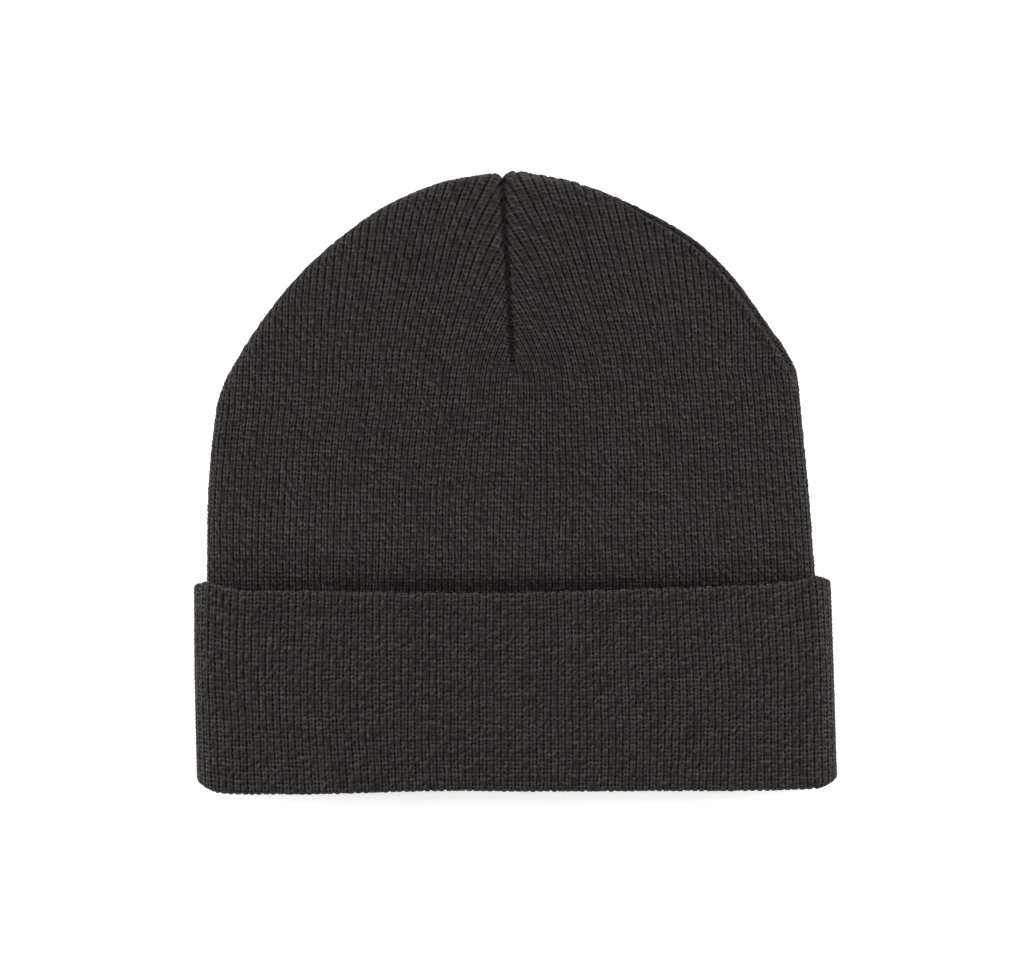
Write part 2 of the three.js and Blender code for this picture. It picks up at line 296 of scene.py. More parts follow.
# the seam from shoulder to shoulder: how far it lies in front of the side edge, in radians round it
seamRows = [
    {"y": 120.0, "left": -0.8, "right": 0.92},
    {"y": 190.0, "left": -0.8, "right": 0.92},
    {"y": 198.0, "left": -0.8, "right": 0.86},
    {"y": 206.5, "left": -0.75, "right": 0.05},
    {"y": 212.8, "left": -0.7, "right": -0.7},
]
sideSeam = {
    "startBelow": 6.0,  # it starts this far below the shoulder and is full this far above it
    "startAbove": 4.0,
    "depth": 1.55,
    "width": 1.65,
    "sharpness": 1.5,
    "crossing": 0.3,  # share of the depth that is left where it crosses the outline
    "clearTurn": 0.6,  # radians away from the outline where all of the depth is back
    "fade": 0.7,  # stitches flatten out this close to it
    "lip": 0.8,  # height of the knit's raised edge beside it, on the right of the front
    "lipAt": 2.7,
    "lipWidth": 1.1,
    "offDart": 6.0,  # a rib that ends nearer to the dart line than this ends in the dart
    "farOff": 99.0,  # stands for a distance where there is no seam
}


def seamTurn(side, y):
    return math.pi / 2 - np.interp(y, columnOf(seamRows, "y"), columnOf(seamRows, side))


# distance of the seam from the dart line, round the section
def seamArc(side, face, y, inset):
    turn = seamTurn(side, y)
    return wayTo(crownSection(side, y, inset), turn if face > 0 else math.pi - turn)


# straight out of the crown at the seam
def seamDirection(side, y):
    step = 0.2
    turn = seamTurn(side, y)
    slope = np.abs(crownSide(side, y, 0.0) - crownSide(side, y - step, 0.0)) / step
    outward = np.sin(turn) / np.hypot(1.0, slope)
    return np.stack([outward * sides[side]["sign"], outward * slope, np.cos(turn)], axis=-1)


# share of the seam's depth at height y
def seamStrength(side, y):
    shoulder, crossing = sides[side]["shoulder"], sideSeam["crossing"]
    clear = easeStep(np.abs(math.pi / 2 - seamTurn(side, y)), 0.0, sideSeam["clearTurn"])
    begun = easeStep(y, shoulder - sideSeam["startBelow"], shoulder + sideSeam["startAbove"])
    return begun * (crossing + (1.0 - crossing) * clear)


knit = {
    "course": 1.48,
    "slant": 0.2,  # the outer ends of a stitch lie this much higher, in courses per rib
    # valley, flank, crest, dip, crest and flank of a rib, and how much further in where stitches meet
    "ribRelief": [-0.18, 0.0, 0.15, 0.06, 0.15, 0.0],
    "jointRelief": [-0.64, -0.25, -0.16, -0.34, -0.16, -0.25],
    "jointChance": 0.5,
    "rest": 0.25,  # the hat lies on the tips of its stitches
    "lowest": 0.02,  # and none of them goes below this
    "firmFrom": 135.0,  # drawn together by the darts, the ribs stand out more from here
    "firmTo": 185.0,
    "firmValley": -0.18,
    "firmJoint": 0.55,  # share of the joint relief left there
    "firmGap": 0.28,  # share of a gap that stays open all along the rib
    "firmShade": 0.08,  # share by which the drawn-in top is darkened: painted shade of its closer gaps
}

# how strongly the ribs are drawn towards the dart, by height
flowRows = [
    {"y": 100.0, "grow": 0.0},
    {"y": 115.0, "grow": 0.1},
    {"y": 127.0, "grow": 0.2},
    {"y": 140.0, "grow": 0.42},
    {"y": 152.0, "grow": 0.8},
    {"y": 163.0, "grow": 0.95},
    {"y": 175.0, "grow": 1.0},
    {"y": 212.8, "grow": 1.0},
]
flow = {
    "openBelow": 8.0,  # the ribs part this far below the foot of the dart, and in full this far above it
    "openAbove": 4.0,
    "footEase": 20.0,  # below the dart the slope grows over this distance from its line
    "pull": 0.42,  # slope of the ribs beside the dart
    "hold": 78.0,  # ribs further out than this stand straight
    "holdEase": 20.0,
    "near": 0.2,  # extra slope right beside the dart
    "nearReach": 10.0,
}


# follows the ribs up from the first height, as distances from the dart line
def ribPaths(side, share, heights, limit):
    sign, shoulder = sides[side]["sign"], sides[side]["shoulder"]
    grow = readCurve(flowRows, "grow", heights)
    centre = readCurve(crownRows, "centre", heights)
    opened = easeStep(heights, darts["foot"] - flow["openBelow"], darts["foot"] + flow["openAbove"])
    s = share * limit[0]
    rows = [s]
    for i in range(1, len(heights)):
        step = heights[i] - heights[i - 1]
        if heights[i] < shoulder:
            s = s * limit[i] / limit[i - 1]
        room = flow["hold"] - s
        ease = flow["holdEase"]
        pull = np.where(np.abs(room) < ease, (room + ease) ** 2 / (4 * ease), np.maximum(room, 0.0))
        slope = flow["pull"] * grow[i] * pull / flow["hold"]
        slope = slope * (opened[i] + (1.0 - opened[i]) * clampTo(s / flow["footEase"], 0.0, 1.0))
        slope = slope + flow["near"] * opened[i] * grow[i] * np.exp(-((s / flow["nearReach"]) ** 2))
        lean = 0.0
        if heights[i] > darts["foot"]:
            lean = sign * (centre[i] - centre[i - 1]) * clampTo(s / flow["hold"], 0.0, 1.0)
        s = s - slope * step - lean
        rows.append(s)
    return np.array(rows)


# each rib wanders a little by itself as it runs up
def wander(seed, ribs, perRib, heights):
    chance = np.random.default_rng(seed)
    phase = chance.uniform(0.0, 2 * math.pi, (2, ribs + 1))
    pace = chance.uniform(*unevenness["paceRange"], (2, ribs + 1))
    slow = np.sin(heights[:, None] * unevenness["slowPace"] * pace[0] + phase[0])
    quick = np.sin(heights[:, None] * unevenness["quickPace"] * pace[1] + phase[1])
    lines = unevenness["wander"] * (slow + unevenness["quickShare"] * quick)
    at = np.arange(ribs * perRib + 1) / perRib
    low = np.minimum(at.astype(int), ribs - 1)
    return lines[:, low] * (1.0 - (at - low)) + lines[:, low + 1] * (at - low)


# how closely the ribs of the crown are followed before their stitches are laid out
tracing = {"heights": 900, "alongRib": 500, "belowTop": 1e-4, "slack": 1e-6, "least": 1e-9}


# drift of ribs, as a sideways distance
def driftOf(across, along, turn):
    wave = slowWave(across * unevenness["driftAcross"], along * unevenness["driftAlong"], turn)
    return unevenness["drift"] * wave


# the crown's knit on one side and face, as rows of points that follow the ribs
def crownPanel(side, face, inset, ribs, perRib, rowStep, startY):
    columns = ribs * perRib + 1
    share = np.linspace(0.0, 1.0, columns)
    climb = np.linspace(0.0, 1.0, tracing["heights"])
    heights = startY + (hat["topY"] - inset - tracing["belowTop"] - startY) * (1.0 - (1.0 - climb) ** 2)
    limit = seamArc(side, face, heights, inset)
    paths = ribPaths(side, share, heights, limit)
    waver = driftOf(paths, heights[:, None], waveTurns["crownDrift"] + face)
    hold = unevenness["driftHold"]
    held = clampTo(paths / hold, 0.0, 1.0) * clampTo((limit[:, None] - paths) / hold, 0.0, 1.0)
    waver = waver + wander(seedFor("crownLines", side, face), ribs, perRib, heights)
    paths = paths + waver * held

    # a rib ends where it crosses the seam or the dart line
    pastSeam = paths - limit[:, None] - tracing["slack"]
    pastDart = np.where(heights[:, None] > darts["foot"], -darts["overlap"] - paths, -1.0)
    past = np.maximum(pastSeam, pastDart)
    first = np.where((past > 0).any(axis=0), (past > 0).argmax(axis=0), len(heights) - 1)
    before, after = past[first - 1, np.arange(columns)], past[first, np.arange(columns)]
    part = clampTo(-before / np.maximum(after - before, tracing["least"]), 0.0, 1.0)
    endY = heights[first - 1] + (heights[first] - heights[first - 1]) * part

    # rows of points lie evenly along each rib
    spread = 1.0 - (1.0 - np.linspace(0.0, 1.0, tracing["alongRib"])) ** 2
    sampleY = startY + (endY[None, :] - startY) * spread[:, None]
    sampleS = np.stack([np.interp(sampleY[:, c], heights, paths[:, c]) for c in range(columns)], axis=1)
    walk = crownPoint(side, face, sampleS, sampleY, inset)
    steps = np.linalg.norm(np.diff(walk, axis=0), axis=-1)
    length = np.vstack([np.zeros(columns), np.cumsum(steps, axis=0)])
    rowCount = int(math.ceil(length[-1].max() / rowStep)) + 1
    marks = np.arange(rowCount) * rowStep
    y = np.stack([np.interp(marks, length[:, c], sampleY[:, c]) for c in range(columns)], axis=1)
    s = np.stack([np.interp(marks, length[:, c], sampleS[:, c]) for c in range(columns)], axis=1)
    travelled = np.minimum(marks[:, None], length[-1][None, :])
    points = crownPoint(side, face, s, y, inset)

    # past the end of a rib its rows lie on one point and keep the direction of the last one
    normals = gridNormals(points) * (sides[side]["sign"] * face)
    lastRow = (length[-1] / rowStep).astype(int)
    keep = np.minimum(np.arange(rowCount)[:, None], lastRow[None, :])
    normals = np.take_along_axis(normals, np.broadcast_to(keep[..., None], normals.shape), axis=0)
    phase = wander(seedFor("crownStitches", side, face), ribs * 2, perRib // 2, marks)
    phase = phase * unevenness["phase"]
    toSide = np.maximum(seamArc(side, face, y, inset) - s, 0.0)
    toEnd = np.where(s > sideSeam["offDart"], length[-1][None, :] - travelled, sideSeam["farOff"])
    seamed = y > sides[side]["shoulder"] - sideSeam["startBelow"]
    return {
        "points": points,
        "normals": normals,
        "toSeam": np.where(seamed, np.minimum(toSide, toEnd), sideSeam["farOff"]),
        "seamShare": seamStrength(side, y),
        "ribs": np.broadcast_to(share[None, :] * ribs * sides[side]["sign"], y.shape),
        "courses": travelled / knit["course"] + phase * edgeHold(columns, perRib),
        "seamDirection": seamDirection(side, y),
        "firm": easeStep(y, knit["firmFrom"], knit["firmTo"]),
    }


# nothing is left to chance at the two edges of a sheet, which meet the next one
def edgeHold(columns, perRib):
    column = np.arange(columns)
    return np.minimum(1.0, np.minimum(column, columns - 1 - column) / perRib)


# makes two sheets meet in one line along a column that they share
def joinSheets(first, second, column):
    parted = 0.8  # from this distance on they are left apart
    rows = min(len(first), len(second))
    ours, theirs = first[:rows, column], second[:rows, column]
    near = np.linalg.norm(ours - theirs, axis=-1) < parted
    middle = (ours + theirs) / 2
    first[:rows, column] = np.where(near[:, None], middle, ours)
    second[:rows, column] = np.where(near[:, None], middle, theirs)


def gridNormals(points):
    least = 1e-12
    across = np.gradient(points, axis=1)
    along = np.gradient(points, axis=0)
    normals = np.cross(across, along)
    length = np.linalg.norm(normals, axis=-1, keepdims=True)
    return normals / np.maximum(length, least)


# how far ribs and stitches stand out of a sheet
def knitRelief(ribs, courses, perRib, seed, firm=0.0):
    places = len(knit["ribRelief"])
    place = (np.arange(ribs.shape[1]) % perRib) * places // perRib
    stitch = courses - np.abs(place / places - 0.5) * knit["slant"]
    joint = 0.5 + 0.5 * np.cos(2 * math.pi * stitch)  # 1 between two stitches, 0 in their middles
    across = np.round(np.abs(ribs) * 2).astype(int)
    along = np.round(stitch + 1.0).astype(int)
    chances = np.random.default_rng(seed).uniform(-1.0, 1.0, (along.max() + 1, across.max() + 1))
    chance = chances[along, across] * edgeHold(ribs.shape[1], perRib)
    meet = np.array(knit["jointRelief"])[place] * joint * (1.0 + knit["jointChance"] * chance)
    relief = np.array(knit["ribRelief"])[place] + meet * (1.0 - (1.0 - knit["firmJoint"]) * firm)
    return relief + knit["firmValley"] * firm * (place == 0) + unevenness["stitch"] * chance


# raises ribs and stitches on a panel, and lets it down into the seam
def raiseKnit(panel, perRib, lip, seed):
    lift = knitRelief(panel["ribs"], panel["courses"], perRib, seed, panel["firm"])
    lift = lift * easeStep(panel["toSeam"], 0.0, sideSeam["fade"])
    bump = np.exp(-(((panel["toSeam"] - sideSeam["lipAt"]) / sideSeam["lipWidth"]) ** 2))
    lift = lift + lip * bump * panel["seamShare"]
    near = np.maximum(0.0, 1.0 - panel["toSeam"] / sideSeam["width"])
    seam = sideSeam["depth"] * near ** sideSeam["sharpness"]
    seam = seam * panel["seamShare"]
    raised = panel["points"] + panel["normals"] * lift[..., None]
    return raised - panel["seamDirection"] * seam[..., None]


welding = {"same": 1e-6, "slim": 1e-7}  # in metres


# a piece of one or more bent grids; their points are rows by columns, in millimetres
def gridPiece(name, sheets, material, replaced):
    whole = bmesh.new()
    knitUv = whole.loops.layers.uv.new("knit")
    for points, ribs, courses in sheets:
        rows, columns = points.shape[:2]
        made = bmesh.ops.create_grid(whole, x_segments=columns - 1, y_segments=rows - 1, size=1.0)
        places = {}
        for vert in made["verts"]:
            column = round((vert.co.x + 1.0) / 2.0 * (columns - 1))
            row = round((vert.co.y + 1.0) / 2.0 * (rows - 1))
            places[vert] = (row, column)
        for face in {f for v in made["verts"] for f in v.link_faces}:
            for loop in face.loops:
                row, column = places[loop.vert]
                loop[knitUv].uv = (ribs[row, column], courses[row, column])
        for vert, (row, column) in places.items():
            x, y, z = points[row, column]
            vert.co = (x * mm, y * mm + foldLine, max(z + knit["rest"], knit["lowest"]) * mm)
    bmesh.ops.remove_doubles(whole, verts=whole.verts, dist=welding["same"])
    bmesh.ops.dissolve_degenerate(whole, edges=whole.edges, dist=welding["slim"])
    mesh = bpy.data.meshes.new(name)
    whole.to_mesh(mesh)
    whole.free()
    mesh.validate()
    mesh.polygons.foreach_set("use_smooth", [True] * len(mesh.polygons))
    mesh.materials.append(material)
    piece = bpy.data.objects.new(name, mesh)
    bpy.context.scene.collection.objects.link(piece)
    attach(piece, "root")
    if replaced:
        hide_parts(*replaced)
    triangles = sum(len(p.vertices) - 2 for p in mesh.polygons)
    print(name, "made with", triangles, "triangles")


# Materials; a pair is a start and what chance, noise or the joint adds to it
yarnLook = {
    "cool": (0.0200, 0.0182, 0.0182, 1.0),
    "warm": (0.0209, 0.0181, 0.0174, 1.0),
    "pale": (0.0332, 0.0301, 0.0297, 1.0),
    # near black: painted shade in the gaps between stitches
    "gap": (0.0008, 0.0007, 0.0007, 1.0),
    "roughness": 0.92,
    "specular": 0.2,
    "sheen": 0.08,
    "sheenRoughness": 0.4,
    "middleGap": {"crown": 0.38, "cuff": 0.35, "inside": 0.38},  # painted shade of the gap in a rib, against that between ribs
    "gapSharpness": 0.9,
    "jointSharpness": 1.2,
    "legGap": 0.03,  # share of the gap that runs on past the middle of a stitch
    "holeShade": 2.1,  # how dark the painted shade in the gaps between stitches is
    "holeChance": (0.15, 1.9),
    "legShade": (0.5, 1.1),
    "fibreShade": (0.3, 1.4),
    # painted shade on the legs where two stitches meet
    "jointShade": (1.08, -0.2),
    "fibre": {"scale": (5.5, 3.2, 1.0), "detail": 4.0},
    "streak": {"scale": (0.3, 1.1, 1.0), "detail": 2.0, "from": 0.4, "to": 0.76},  # towards pale
    "patch": {"scale": (0.16, 0.1, 1.0), "detail": 2.0, "from": 0.35, "to": 0.65},  # from cool to warm
    "fibreHeight": 0.4,
    "bump": 0.7,
    "bumpDepth": 0.0006,  # in metres
}


def nodeMaker(material):
    material.use_nodes = True
    nodes, links = material.node_tree.nodes, material.node_tree.links

    def add(kind, **settings):
        node = nodes.new(kind)
        for key, value in settings.items():
            setattr(node, key, value)
        return node

    def join(value, socket):
        if isinstance(value, (int, float, tuple)):
            socket.default_value = value
        else:
            links.new(value, socket)

    def sums(kind, first, second=0.0, third=0.0):
        node = add("ShaderNodeMath", operation=kind)
        for value, socket in zip((first, second, third), node.inputs):
            join(value, socket)
        return node.outputs[0]

    # the colour sockets of this node are its seventh and eighth, and its third output
    def mixed(factor, first, second):
        node = add("ShaderNodeMix", data_type="RGBA")
        join(factor, node.inputs[0])
        join(first, node.inputs[6])
        join(second, node.inputs[7])
        return node.outputs[2]

    def spreadOut(value, low, high):
        node = add("ShaderNodeMapRange")
        join(value, node.inputs[0])
        join(low, node.inputs[1])
        join(high, node.inputs[2])
        return node.outputs[0]

    def noise(vector, scale, detail):
        node = add("ShaderNodeTexNoise")
        mapping = add("ShaderNodeMapping")
        join(scale, mapping.inputs["Scale"])
        links.new(vector, mapping.inputs[0])
        links.new(mapping.outputs[0], node.inputs["Vector"])
        join(1.0, node.inputs["Scale"])
        join(detail, node.inputs["Detail"])
        return node.outputs["Fac"]

    return nodes, links, add, sums, mixed, spreadOut, noise


def knitMaterial(name, middleGap):
    material = bpy.data.materials.new(name)
    nodes, links, add, sums, mixed, spreadOut, noise = nodeMaker(material)
    shader = nodes["Principled BSDF"]

    def varied(value, look):
        start, more = yarnLook[look]
        return sums("MULTIPLY_ADD", value, more, start)

    uv = add("ShaderNodeUVMap", uv_map="knit").outputs["UV"]
    split = add("ShaderNodeSeparateXYZ")
    links.new(uv, split.inputs[0])
    across, along = split.outputs["X"], split.outputs["Y"]

    # each rib is a column of V stitches, with painted shade between the ribs and between the legs of the
    # V
    inRib = sums("FRACT", across)
    slant = sums("MULTIPLY", sums("ABSOLUTE", sums("SUBTRACT", inRib, 0.5)), knit["slant"])
    stitch = sums("SUBTRACT", along, slant)
    between = sums("MULTIPLY_ADD", sums("COSINE", sums("MULTIPLY", inRib, 4 * math.pi)), 0.5, 0.5)
    valley = sums("COSINE", sums("MULTIPLY", inRib, 2 * math.pi))
    valley = sums("MULTIPLY_ADD", valley, (1.0 - middleGap) / 2, (1.0 + middleGap) / 2)
    joint = sums("MULTIPLY_ADD", sums("COSINE", sums("MULTIPLY", stitch, 2 * math.pi)), 0.5, 0.5)

    # chance differences from stitch to stitch
    cell = add("ShaderNodeCombineXYZ")
    links.new(sums("FLOOR", sums("MULTIPLY_ADD", across, 2.0, 0.5)), cell.inputs[0])
    links.new(sums("FLOOR", sums("ADD", stitch, 0.5)), cell.inputs[1])
    chance = add("ShaderNodeTexWhiteNoise", noise_dimensions="2D")
    links.new(cell.outputs[0], chance.inputs["Vector"])
    leg = add("ShaderNodeCombineXYZ")
    links.new(sums("FLOOR", sums("MULTIPLY", across, 2.0)), leg.inputs[0])
    links.new(sums("FLOOR", stitch), leg.inputs[1])
    legChance = add("ShaderNodeTexWhiteNoise", noise_dimensions="2D")
    links.new(leg.outputs[0], legChance.inputs["Vector"])

    fibre = noise(uv, yarnLook["fibre"]["scale"], yarnLook["fibre"]["detail"])
    streak = noise(uv, yarnLook["streak"]["scale"], yarnLook["streak"]["detail"])
    patch = noise(uv, yarnLook["patch"]["scale"], yarnLook["patch"]["detail"])

    # painted shade darkens the gaps that open where two stitches meet; in the drawn-in top they run
    # along the ribs
    opening = sums("MULTIPLY", sums("POWER", between, yarnLook["gapSharpness"]), valley)
    place = add("ShaderNodeSeparateXYZ")
    links.new(add("ShaderNodeTexCoord").outputs["Object"], place.inputs[0])
    firmLow, firmHigh = knit["firmFrom"] * mm + foldLine, knit["firmTo"] * mm + foldLine
    firm = spreadOut(place.outputs["Y"], firmLow, firmHigh)
    legGap = yarnLook["legGap"]
    meet = sums("MULTIPLY_ADD", sums("POWER", joint, yarnLook["jointSharpness"]), 1.0 - legGap, legGap)
    meet = sums("MAXIMUM", meet, sums("MULTIPLY", firm, knit["firmGap"]))
    opening = sums("MULTIPLY", opening, meet)
    opening = sums("MULTIPLY", opening, varied(chance.outputs["Value"], "holeChance"))
    opening = sums("MINIMUM", sums("MULTIPLY", opening, yarnLook["holeShade"]), 1.0)

    warmth = spreadOut(patch, yarnLook["patch"]["from"], yarnLook["patch"]["to"])
    paleness = spreadOut(streak, yarnLook["streak"]["from"], yarnLook["streak"]["to"])
    base = mixed(warmth, yarnLook["cool"], yarnLook["warm"])
    base = mixed(paleness, base, yarnLook["pale"])
    shade = varied(legChance.outputs["Value"], "legShade")
    shade = sums("MULTIPLY", shade, varied(fibre, "fibreShade"))
    # painted shade on the legs where two stitches meet
    shade = sums("MULTIPLY", shade, varied(joint, "jointShade"))
    # the drawn-in top a little darker: painted shade of its closer gaps
    shade = sums("MULTIPLY", shade, sums("MULTIPLY_ADD", firm, -knit["firmShade"], 1.0))
    lit = add("ShaderNodeVectorMath", operation="SCALE")
    links.new(base, lit.inputs[0])
    links.new(shade, lit.inputs["Scale"])
    # the gaps take the near-black gap colour, which is painted shade
    links.new(mixed(opening, lit.outputs[0], yarnLook["gap"]), shader.inputs["Base Color"])
    shader.inputs["Roughness"].default_value = yarnLook["roughness"]
    shader.inputs["Sheen Weight"].default_value = yarnLook["sheen"]
    shader.inputs["Sheen Roughness"].default_value = yarnLook["sheenRoughness"]
    shader.inputs["Specular IOR Level"].default_value = yarnLook["specular"]

    bump = add("ShaderNodeBump")
    bump.inputs["Strength"].default_value = yarnLook["bump"]
    bump.inputs["Distance"].default_value = yarnLook["bumpDepth"]
    height = sums("SUBTRACT", sums("MULTIPLY", fibre, yarnLook["fibreHeight"]), opening)
    links.new(height, bump.inputs["Height"])
    links.new(bump.outputs[0], shader.inputs["Normal"])
    return material


crownKnit = knitMaterial("charcoal_rib", yarnLook["middleGap"]["crown"])
cuffKnit = knitMaterial("charcoal_cuff_rib", yarnLook["middleGap"]["cuff"])
insideKnit = knitMaterial("charcoal_inside_rib", yarnLook["middleGap"]["inside"])
print("knit materials made")

# Crown
crownBuild = {
    "perRib": 6,
    "startY": 62.0,
    "rowShare": 0.5,  # height of one row of points, as a share of a course
    "ribs": {"left": {1: 50, -1: 47}, "right": {1: 46, -1: 49}},
    "insideStart": 13.0,
    "insidePerRib": 2,
    "insideRow": 2.0,  # in courses
    "insideRelief": [-0.55, 0.25],  # valley and crest of a rib in the hollow
}


# the columns of a sheet in the order that turns its faces outwards
def facingOut(side, face):
    return slice(None, None, -1) if sides[side]["sign"] * face < 0 else slice(None)


def crownSheets(inset, perRib, step, startY):
    sheets = {}
    for face in faceNames:
        for side in sides:
            ribs = crownBuild["ribs"][side][face]
            sheets[side, face] = crownPanel(side, face, inset, ribs, perRib, step, startY)
    return sheets


def joinAround(sheets):
    for face in faceNames:
        joinSheets(sheets["left", face]["points"], sheets["right", face]["points"], 0)
    for side in sides:
        joinSheets(sheets[side, 1]["points"], sheets[side, -1]["points"], -1)


def orderedSheet(sheet, order):
    return sheet["points"][:, order], sheet["ribs"][:, order], sheet["courses"][:, order]


# the outside of the crown, from behind the hem up; its four pieces meet in valleys between ribs
def makeCrown():
    perRib, row = crownBuild["perRib"], knit["course"] * crownBuild["rowShare"]
    sheets = crownSheets(0.0, perRib, row, crownBuild["startY"])
    for (side, face), sheet in sheets.items():
        lip = sideSeam["lip"] if face > 0 and side == "right" else 0.0
        sheet["points"] = raiseKnit(sheet, perRib, lip, seedFor("crownRelief", side, face))
    joinAround(sheets)
    for (side, face), sheet in sheets.items():
        name = "crown_" + faceNames[face] + "_" + side
        gridPiece(name, [orderedSheet(sheet, facingOut(side, face))], crownKnit, ["crown"])


# the plainer rib of the hollow, seen through the mouth
def makeLining():
    perRib, row = crownBuild["insidePerRib"], knit["course"] * crownBuild["insideRow"]
    sheets = crownSheets(hat["wall"], perRib, row, crownBuild["insideStart"])
    for sheet in sheets.values():
        relief = np.array(crownBuild["insideRelief"])[np.arange(sheet["ribs"].shape[1]) % perRib]
        sheet["points"] = sheet["points"] - sheet["normals"] * relief[None, :, None]
    joinAround(sheets)
    parts = [orderedSheet(sheet, facingOut(side, -face)) for (side, face), sheet in sheets.items()]
    gridPiece("crown_inside", parts, insideKnit, [])


makeCrown()
makeLining()

# Cuff
cuff = {
    "height": 68.7,
    "course": 1.41,
    "rowShare": 0.5,
    "perRib": 6,
    "ribsPerQuarter": 47,
    "hemTurns": 24,  # points of the round hem and of the fold
    "foldTurns": 40,
    "corner": {"left": 2.4, "right": 2.2},  # rise of its lower corners
    "cornerReach": 20.0,
    "cornerSharpness": 1.5,
    "hemCorner": {"left": 2.9, "right": 2.0},  # rounding of its upper corners
    "hemCornerPower": 6,  # how soon the corners and the hem's own line fade out below it
    "hemLinePower": 2,
    "sagReach": 40.0,  # the fold's sag is gone this far up
    "barrel": 0.016,  # how much the ribs draw in at the hem and the fold
    "tuckIn": 7.0,  # how far the knit runs on behind the hem
    "innerEnd": 16.0,  # and up inside the fold
    "loft": 8.0,
    "flare": 1.2,  # how far the hem stands off near its ends
    "flareLess": 0.6,  # share of it that is missing in the middle
    "flareEase": 3.0,  # how soon it sets in, away from the sides
    "flareFrom": 9.0,  # it grows between these distances below the hem
    "flareTo": 1.0,
    "edgeEase": 3.0,  # how soon ribs drift, away from the middle and the sides
    "calmHem": 0.85,  # relief left at the hem
    "calmHemFrom": 4.0,
    "calmHemTo": 0.5,
    "calmFold": 0.85,  # and at the fold
    "calmFoldTo": 4.0,
    "hemUneven": 0.3,  # how far the ends of single ribs are out of line
    "unevenFrom": 6.0,
    "unevenTo": 1.0,
}
cuffSides = [
    {"y": 0.0, "left": -109.1, "right": 110.6},
    {"y": 40.0, "left": -110.0, "right": 109.4},
    {"y": 55.0, "left": -110.1, "right": 108.8},
    {"y": 72.0, "left": -110.2, "right": 108.1},
]

# heights of the hem and of the fold across the hat
hemLine = [
    {"x": -110.0, "y": 74.2},
    {"x": -103.0, "y": 71.8},
    {"x": -97.0, "y": 70.1},
    {"x": -72.0, "y": 69.1},
    {"x": -29.0, "y": 68.5},
    {"x": 5.0, "y": 68.5},
    {"x": 30.0, "y": 69.5},
    {"x": 65.0, "y": 70.5},
    {"x": 84.0, "y": 71.4},
    {"x": 95.0, "y": 72.4},
    {"x": 103.0, "y": 74.3},
    {"x": 110.0, "y": 75.2},
]
foldSag = [
    {"x": -104.0, "y": 0.1},
    {"x": -98.0, "y": -0.3},
    {"x": -80.0, "y": -0.45},
    {"x": -53.0, "y": 0.2},
    {"x": -30.0, "y": 1.0},
    {"x": 10.0, "y": 0.9},
    {"x": 40.0, "y": 1.0},
    {"x": 90.0, "y": 0.95},
    {"x": 97.0, "y": 1.1},
    {"x": 104.0, "y": 1.4},
]
foldRadius = hat["wall"] + hat["gap"] / 2
cuffHalf = hat["sideEdge"] + hat["wall"] + hat["gap"]


def lengthAlong(path):
    return np.concatenate([[0.0], np.cumsum(np.linalg.norm(np.diff(path, axis=0), axis=1))])


# 0 below the first distance under the hem and 1 above the second
def nearHem(y, begins, ends):
    return easeStep(y, cuff["height"] - cuff[begins], cuff["height"] - cuff[ends])


# the way of the knit from behind the hem, over it, down the outside and round the fold:
# inset, height and distance travelled
def cuffWay(step):
    hem = hat["wall"] / 2
    top = cuff["height"] - hem
    way = [(hat["wall"], top - cuff["tuckIn"]), (hat["wall"], top)]

    def arcAround(inset, y, radius, start, end, turns):
        for turn in np.linspace(start, end, turns)[1:]:
            way.append((inset + radius * math.cos(turn), y + radius * math.sin(turn)))

    arcAround(hem, top, hem, 0.0, math.pi, cuff["hemTurns"])
    way.append((0.0, foldRadius))
    arcAround(foldRadius, foldRadius, foldRadius, math.pi, 2 * math.pi, cuff["foldTurns"])
    way.append((2 * foldRadius, cuff["innerEnd"]))
    way = np.array(way)
    length = lengthAlong(way)
    marks = np.arange(0.0, length[-1], step)
    return np.interp(marks, length, way[:, 0]), np.interp(marks, length, way[:, 1]), marks


# a point of the cuff at distance s from its middle
def cuffPoint(side, face, s, inset, y):
    sign = sides[side]["sign"]
    reach = np.abs(np.interp(y, columnOf(cuffSides, "y"), columnOf(cuffSides, side)))
    half = cuffHalf - inset
    flat = reach - cuffHalf
    turn = clampTo((s - flat) / cuffHalf, 0.0, math.pi)
    out = np.where(s < flat, s, flat + half * np.sin(turn))
    facing = face * np.cos(turn)
    inner = np.maximum(0.0, 1.0 - (out / (reach - inset)) ** 2)
    rolled = nearHem(y, "flareFrom", "flareTo")
    soft = cuff["loft"] + unevenness["rise"] * slowWave(sign * s, y, waveTurns["cuffRise"])
    ends = np.minimum(1.0, cuff["flareEase"] * inner)
    stand = cuff["flare"] * rolled * ends * (1.0 - cuff["flareLess"] * inner)
    puff = np.where(facing > 0, soft * inner + stand, 0.0)
    x = sign * out
    share = np.maximum(y, 0.0) / cuff["height"]
    rise = (readCurve(hemLine, "y", x, "x") - cuff["height"]) * share ** cuff["hemLinePower"]
    sag = readCurve(foldSag, "y", x, "x") * np.maximum(0.0, 1.0 - y / cuff["sagReach"])
    corner = np.sin(turn) ** 2
    low = np.maximum(0.0, 1.0 - y / cuff["cornerReach"])
    lift = cuff["corner"][side] * corner * low ** cuff["cornerSharpness"]
    dip = cuff["hemCorner"][side] * corner * share ** cuff["hemCornerPower"]
    z = cuffHalf + facing * half + puff
    return np.stack(np.broadcast_arrays(x, y + rise + sag + lift - dip, z), axis=-1)


